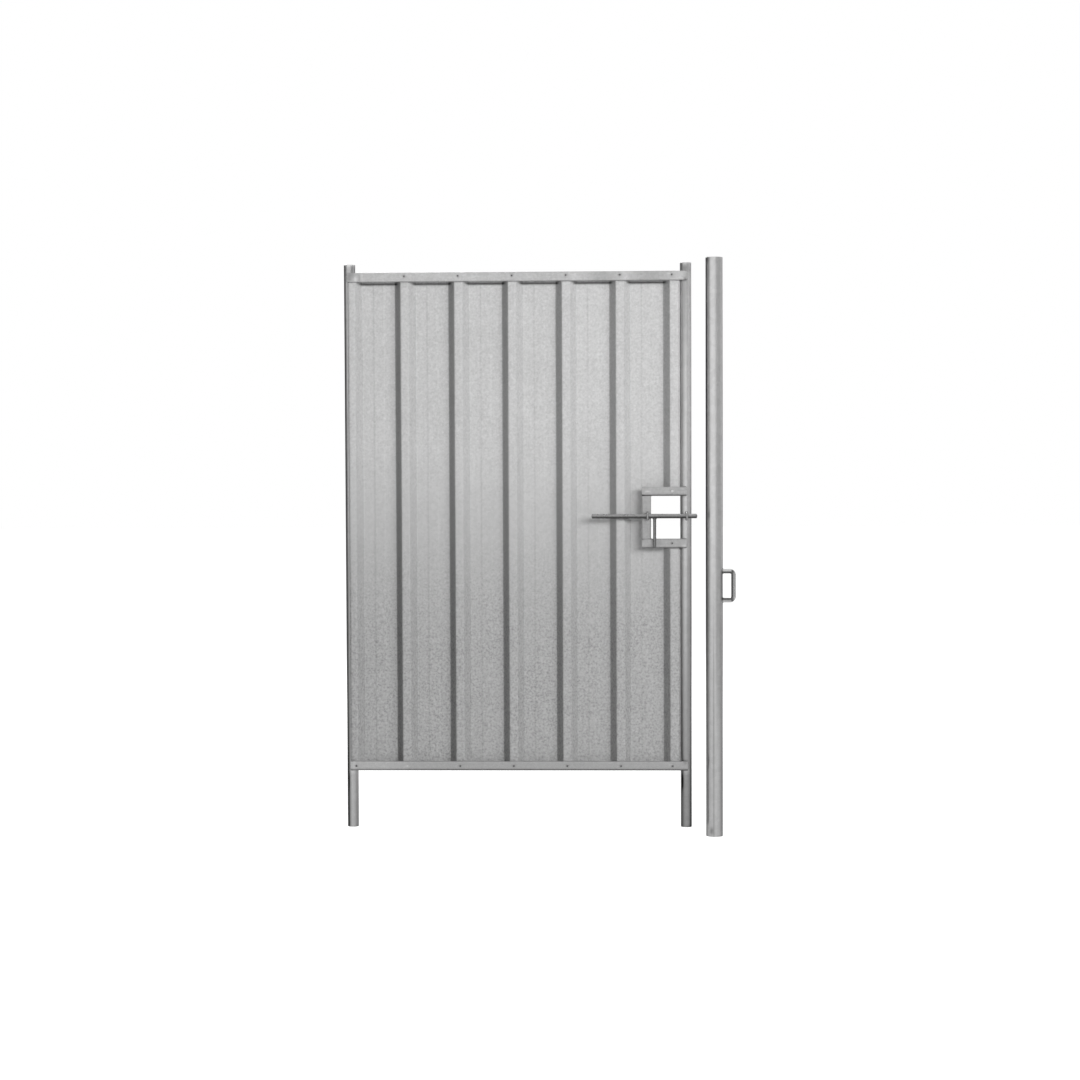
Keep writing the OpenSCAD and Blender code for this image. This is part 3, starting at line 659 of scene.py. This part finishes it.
weld = {
    "radius": 3.6, "lap": 10, "endGap": 0.4, "edgeShare": 0.85, "jambRadius": 2.3, "jambInset": 3,
    "ringRadius": {"handle": 1.7, "staple": 1.5, "keeper": 1.9},
}


# The weld of a bar's end to a stile: one bead up the end and one along an edge
def endWeld(bar, side, edge, seed):
    low, high = railBoxes[bar]
    end = low[0] if side > 0 else high[0]
    reach = weld["radius"] * mm
    foot = np.array([end, railBack, low[2] + weld["endGap"] * mm])
    head = np.array([end, railBack, high[2] - weld["endGap"] * mm])
    up = weldBead(foot, head, reach, ways[0], seed)
    corner = np.array([end, railBack, high[2] if edge > 0 else low[2]])
    lapEnd = corner + ways[0] * side * weld["lap"] * mm
    over = weldBead(corner, lapEnd, reach * weld["edgeShare"], ways[2], seed + 1)
    return [up, over]


for name, node, bar, side, edge, seed in (
        ("topHingeWeldBeads", "top_hinge_weld", "top_rail", 1, 1, 21),
        ("topLatchWeldBeads", "top_latch_weld", "top_rail", -1, 1, 23),
        ("bottomHingeWeldBeads", "bottom_hinge_weld", "bottom_rail", 1, -1, 25),
        ("bottomLatchWeldBeads", "bottom_latch_weld", "bottom_rail", -1, -1, 27),
        ("hatchTopWeldBeads", "hatch_top_weld", "hatch_top_bar", -1, 1, 29),
        ("hatchBottomWeldBeads", "hatch_bottom_weld", "hatch_bottom_bar", -1, -1, 31)):
    makePiece(name, endWeld(bar, side, edge, seed), sprayedWeld, "leaf", [node])

# the welds in the hatch frame's corners run from front to back at the jamb's ends
jambCorners = [(x, z) for x in (jambLow[0], jambHigh[0]) for z in (jambLow[2], jambHigh[2])]
jambBeads = []
for count, (x, z) in enumerate(jambCorners):
    start = np.array([x, railFront + weld["jambInset"] * mm, z])
    end = np.array([x, railBack - weld["jambInset"] * mm, z])
    jambBeads.append(weldBead(start, end, weld["jambRadius"] * mm, ways[0], 40 + count))
makePiece("jambWeldBeads", jambBeads, sprayedWeld, "leaf", ["jamb_welds"])
print("welds made")

boltLow, boltHigh = map(np.array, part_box("bolt_rod"))
boltAxis = (boltLow + boltHigh) / 2
boltRadius = (boltHigh[2] - boltLow[2]) / 2
bolt = {
    "endRound": 3.5, "handleRod": 11, "handleEnd": 4, "handleGap": 0.3,
    "collarOut": 0.6, "collarFlat": 0.8, "collarLift": 1.4,  # the weld round the handle's top
    "topHighlight": 1.1, "grimeAndShade": 0.75,  # a painted highlight on its top and painted shade on its underside
}
boltRoute = np.array([[boltLow[0], *boltAxis[1:]], [boltHigh[0], *boltAxis[1:]]])
boltShape = rod(boltRoute, boltRadius, ways[2], bolt["endRound"] * mm, sides=40)
# tone: a painted highlight, its share times the height above the axis, or painted shade, its share times 1.6
# times the depth below it, in radii
up = (boltShape[0][:, 2] - boltAxis[2]) / boltRadius
boltLightAndShade = bolt["topHighlight"] * np.clip(up, 0, 1) - bolt["grimeAndShade"] * np.clip(-1.6 * up, 0, 1)
makePiece("slidingBolt", [boltShape], wornBar, "bolt", ["bolt_rod"], boltLightAndShade)

handleLow, handleHigh = map(np.array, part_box("bolt_handle"))
handleAxis = (handleLow + handleHigh) / 2
handleRadius = bolt["handleRod"] / 2 * mm
handleTop = boltAxis[2] - boltRadius - bolt["handleGap"] * mm
handleRoute = np.array([
    [handleAxis[0], boltAxis[1], handleTop], [handleAxis[0], boltAxis[1], handleLow[2]]])
# the weld round the handle's top lies on the bolt: z = axis - sqrt(r^2 - y^2)
collarTurn = np.linspace(0, fullTurn, 40, endpoint=False)
collarX = (handleRadius + bolt["collarOut"] * mm) * np.cos(collarTurn)
collarY = bolt["collarFlat"] * handleRadius * np.sin(collarTurn)
collarDrop = np.sqrt((boltRadius + bolt["collarLift"] * mm) ** 2 - collarY ** 2)
collar = np.stack([handleAxis[0] + collarX, boltAxis[1] + collarY, boltAxis[2] - collarDrop], axis=1)
handleShapes = [
    rod(handleRoute, handleRadius, ways[0], bolt["handleEnd"] * mm, sides=32),
    ringBead(collar, weld["ringRadius"]["handle"] * mm, ways[2], 51)]
makePiece("boltHandleRod", handleShapes, wornBar, "handle", ["bolt_handle"])

stapleLook = {"rod": 7, "play": 0.3, "tone": -0.4, "weldOut": 0.6, "weldLift": 1.3}


# A staple over the bolt: two legs and half a turn, with a weld round each foot
def staple(node, seed):
    low, high = map(np.array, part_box(node))
    x, radius = (low[0] + high[0]) / 2, stapleLook["rod"] / 2 * mm
    bend = boltRadius + stapleLook["play"] * mm + radius
    foot = high[1]
    legs = [np.array([[x, foot, boltAxis[2] + side * bend]]) for side in (-1, 1)]
    turn = arc([x, boltAxis[1], boltAxis[2]], bend, ways[2], -ways[1], 180, 0, 24)
    route = np.vstack([legs[0], turn, legs[1]])
    shapes = [rod(route, radius, ways[0], 0.5 * mm, sides=20, step=2.5 * mm)]
    for side in (-1, 1):
        centre = [x, foot - stapleLook["weldLift"] * mm, boltAxis[2] + side * bend]
        ring = arc(centre, radius + stapleLook["weldOut"] * mm, ways[0], ways[2], 0, 360, 33)[:-1]
        shapes.append(ringBead(ring, weld["ringRadius"]["staple"] * mm, ways[1], seed + side))
    return shapes


for name, node, seed in (
        ("jambGuideStaple", "bolt_guide_jamb", 60),
        ("stileGuideStaple", "bolt_guide_stile", 64)):
    shapes = staple(node, seed)
    tones = np.full(sum(len(points) for points, quads in shapes), stapleLook["tone"])
    makePiece(name, shapes, dippedRod, "leaf", [node], tones)
print("bolt made")

keeper = {"rod": 16, "height": 119, "bend": 13, "foot": 3, "grimeAndShade": -0.8, "weldOut": 0.5, "weldLift": 0.6}
keeperLow, keeperHigh = map(np.array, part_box("keeper_loop"))
postRadius = (postHigh[0] - postLow[0]) / 2
keeperRadius, keeperBend = keeper["rod"] / 2 * mm, keeper["bend"] * mm
limbX = keeperHigh[0] - keeperRadius
middleZ = (keeperLow[2] + keeperHigh[2]) / 2
rise = keeper["height"] / 2 * mm - keeperRadius
footX = postRadius - keeper["foot"] * mm
keeperRoute = np.vstack([
    [[footX, 0, middleZ - rise]],
    arc([limbX - keeperBend, 0, middleZ - rise + keeperBend], keeperBend, ways[0], ways[2], -90, 0),
    arc([limbX - keeperBend, 0, middleZ + rise - keeperBend], keeperBend, ways[0], ways[2], 0, 90),
    [[footX, 0, middleZ + rise]]])
keeperShapes = [rod(keeperRoute, keeperRadius, ways[1], 0.5 * mm, sides=36, step=3 * mm)]
# a weld round each foot lies on the post: x = sqrt(r^2 - y^2)
angle = np.linspace(0, fullTurn, 48, endpoint=False)
weldReach = keeperRadius + keeper["weldOut"] * mm
weldY = weldReach * np.cos(angle)
weldX = np.sqrt(postRadius ** 2 - weldY ** 2) + keeper["weldLift"] * mm
for side in (-1, 1):
    foot = np.stack([weldX, weldY, middleZ + side * rise + weldReach * np.sin(angle)], axis=1)
    keeperShapes.append(ringBead(foot, weld["ringRadius"]["keeper"] * mm, ways[0], 70 + side))
# painted shade inside the loop: full a third of a radius inwards of the rod's axis, and none a third
# outwards, measured across the limb on the limb and across the arms on them
loopPoints = np.vstack([points for points, quads in keeperShapes])
loopX = (loopPoints[:, 0] - limbX) / keeperRadius
loopZ = (np.abs(loopPoints[:, 2] - middleZ) - rise) / keeperRadius
outwards = np.where(np.abs(loopX) < 1.05, loopX, loopZ)
keeperShade = keeper["grimeAndShade"] * np.clip(0.5 - 1.5 * outwards, 0, 1)
makePiece("keeperLoopRod", keeperShapes, dippedRod, "post", ["keeper_loop"], keeperShade)
print("keeper made")

# Powers in watts, sizes, reaches and distances in metres, turns and rises in degrees
studio = {
    "ambient": 0.12, "aim": (-0.6, 0, 1.0),
    "floorColour": "#bcbcbc", "floorReach": 40, "floorGlow": 0.84, "floorFade": (1.6, 5.0),
    "keyPower": 405, "keySize": (4.6, 1.5), "keyTurn": 30, "keyRise": 15, "lampDistance": 6.0,
    "backPower": 260, "backSize": (3.0, 2.0), "backTurn": 205, "backRise": 35,
}
aim = np.array(studio["aim"])


# A share of 1 where the camera, a reflection or glass looks straight at a thing, and 0
# where the thing only lights another
def seenShare(tree):
    path = addNode(tree, "LightPath")
    seen = path.outputs["Is Camera Ray"]
    for look in ("Is Glossy Ray", "Is Transmission Ray"):
        seen = addNode(tree, "Math", {0: seen, 1: path.outputs[look]}, operation="MAXIMUM").outputs[0]
    return seen


# The floor keeps a faint shadow near the gate, and its glow rises to plain white further out
def floorPaint():
    material = bpy.data.materials.new("paleFloor")
    tree = emptyTree(material)
    place = addNode(tree, "TexCoord").outputs["Object"]
    away = addNode(tree, "VectorMath", {0: place}, operation="LENGTH").outputs["Value"]
    glow = addNode(tree, "MapRange", {
        "Value": away, "From Min": studio["floorFade"][0], "From Max": studio["floorFade"][1],
        "To Min": studio["floorGlow"], "To Max": 1.0}).outputs[0]
    strength = addNode(tree, "Math", {0: seenShare(tree), 1: glow}, operation="MULTIPLY").outputs[0]
    emission = addNode(tree, "Emission", {"Color": (1, 1, 1, 1), "Strength": strength})
    diffuse = addNode(tree, "BsdfDiffuse", {"Color": linearColour(studio["floorColour"])})
    both = addNode(tree, "AddShader", {0: emission.outputs[0], 1: diffuse.outputs[0]})
    addNode(tree, "OutputMaterial", {"Surface": both.outputs[0]})
    return material


# A plain surface of the stage
def stagePlane(name, shape, material, glossyOnly=False):
    corners, quads = shape
    mesh = bpy.data.meshes.new(name)
    mesh.from_pydata(corners.tolist(), [], quads.tolist())
    mesh.materials.append(material)
    plane = bpy.data.objects.new(name, mesh)
    bpy.context.collection.objects.link(plane)
    if glossyOnly:
        plane.visible_camera = plane.visible_diffuse = False
        plane.visible_shadow = plane.visible_transmission = False


# A level square at a height, with its middle under a point
def levelSquare(middleX, reach, height):
    edge = np.array([-reach, reach])
    return gridShape(np.stack(np.broadcast_arrays(
        middleX + edge[None, :], edge[:, None], height), axis=-1))


stagePlane("floor", levelSquare(0, studio["floorReach"], 0), floorPaint())

world = bpy.data.worlds.new("studioWorld")
bpy.context.scene.world = world
worldTree = emptyTree(world)
strength = addNode(worldTree, "MapRange", {
    "Value": seenShare(worldTree), "To Min": studio["ambient"], "To Max": 1.0}).outputs[0]
background = addNode(worldTree, "Background", {"Color": (1, 1, 1, 1), "Strength": strength})
addNode(worldTree, "OutputWorld", {"Surface": background.outputs[0]})


# An area lamp at a turn a from straight ahead and a rise e, facing the gate from
# aim + distance (sin a cos e, -cos a cos e, sin e)
def softLamp(name, power, size, distance, turn, rise):
    data = bpy.data.lights.new(name, "AREA")
    data.energy, data.shape = power, "RECTANGLE"
    data.size, data.size_y = size
    lamp = bpy.data.objects.new(name, data)
    bpy.context.collection.objects.link(lamp)
    a, e = math.radians(turn), math.radians(rise)
    back = np.array([math.sin(a) * math.cos(e), -math.cos(a) * math.cos(e), math.sin(e)])
    lamp.matrix_world = Matrix.Translation(aim + distance * back) @ (
        Matrix.Rotation(a, 4, "Z") @ Matrix.Rotation(math.pi / 2 - e, 4, "X"))
    return lamp


keyLamp = softLamp("keyLamp", studio["keyPower"], studio["keySize"], studio["lampDistance"],
                   studio["keyTurn"], studio["keyRise"])
keyLamp.visible_glossy = False  # reflections see the cards instead
softLamp("backLamp", studio["backPower"], studio["backSize"], studio["lampDistance"],
         studio["backTurn"], studio["backRise"])

# Cards round the gate that only reflections see: turns in degrees from straight ahead,
# height in metres, and how bright each is. They give tubes and webs their darker sides.
cards = {
    "cardFront": {"turns": (14, 30), "height": 6, "tone": 0.72},
    "cardRight": {"turns": (30, 104), "height": 6, "tone": 0.44},
    "cardWebs": {"turns": (104, 126), "height": 6, "tone": 0.85},
    "cardBehind": {"turns": (126, 200), "height": 4, "tone": 0.06},
    "cardLeft": {"turns": (200, 256), "height": 6, "tone": 0.03},
    "cardSide": {"turns": (256, 282), "height": 6, "tone": 0.16},
    "cardCorner": {"turns": (282, 304), "height": 6, "tone": 0.5},
}
cardPlace = {"distance": 5.5, "foot": -0.5, "groundTone": 0.75, "groundHeight": 0.001}  # lengths in metres


# A card of even brightness
def stageCard(name, shape, tone):
    material = bpy.data.materials.new(name)
    tree = emptyTree(material)
    glow = addNode(tree, "Emission", {"Color": (1, 1, 1, 1), "Strength": tone})
    addNode(tree, "OutputMaterial", {"Surface": glow.outputs[0]})
    stagePlane(name, shape, material, glossyOnly=True)


# Cards bent round the gate, (d sin a, -d cos a, z) over a span of turns, and one on the ground
cardDistance = cardPlace["distance"]
for name, card in cards.items():
    turn = np.radians(np.linspace(*card["turns"], 12))[None, :]
    rise = np.array([[cardPlace["foot"]], [card["height"]]])
    bent = np.stack(np.broadcast_arrays(
        aim[0] + cardDistance * np.sin(turn), -cardDistance * np.cos(turn), rise), axis=-1)
    stageCard(name, gridShape(bent), card["tone"])
stageCard("cardGround", levelSquare(aim[0], cardDistance, cardPlace["groundHeight"]), cardPlace["groundTone"])

# The camera: place and farthest sight in metres, lens and sensor in mm, and angles in
# degrees from level and straight ahead
viewer = {
    "place": (-0.396, -7.0, 1.2915), "lens": 65.72, "sensor": 36,
    "pitch": -1.93, "yaw": 1.815, "roll": -0.232, "farthest": 200,
}
cameraData = bpy.data.cameras.new("viewer")
cameraData.lens, cameraData.sensor_width = viewer["lens"], viewer["sensor"]
cameraData.clip_end = viewer["farthest"]
camera = bpy.data.objects.new("viewer", cameraData)
bpy.context.collection.objects.link(camera)
camera.matrix_world = (
    Matrix.Translation(viewer["place"]) @ Matrix.Rotation(math.radians(viewer["yaw"]), 4, "Z")
    @ Matrix.Rotation(math.radians(90 + viewer["pitch"]), 4, "X")
    @ Matrix.Rotation(math.radians(viewer["roll"]), 4, "Z"))
bpy.context.scene.camera = camera
bpy.context.scene.view_settings.view_transform = "Standard"
print("stage, lamps and camera set")
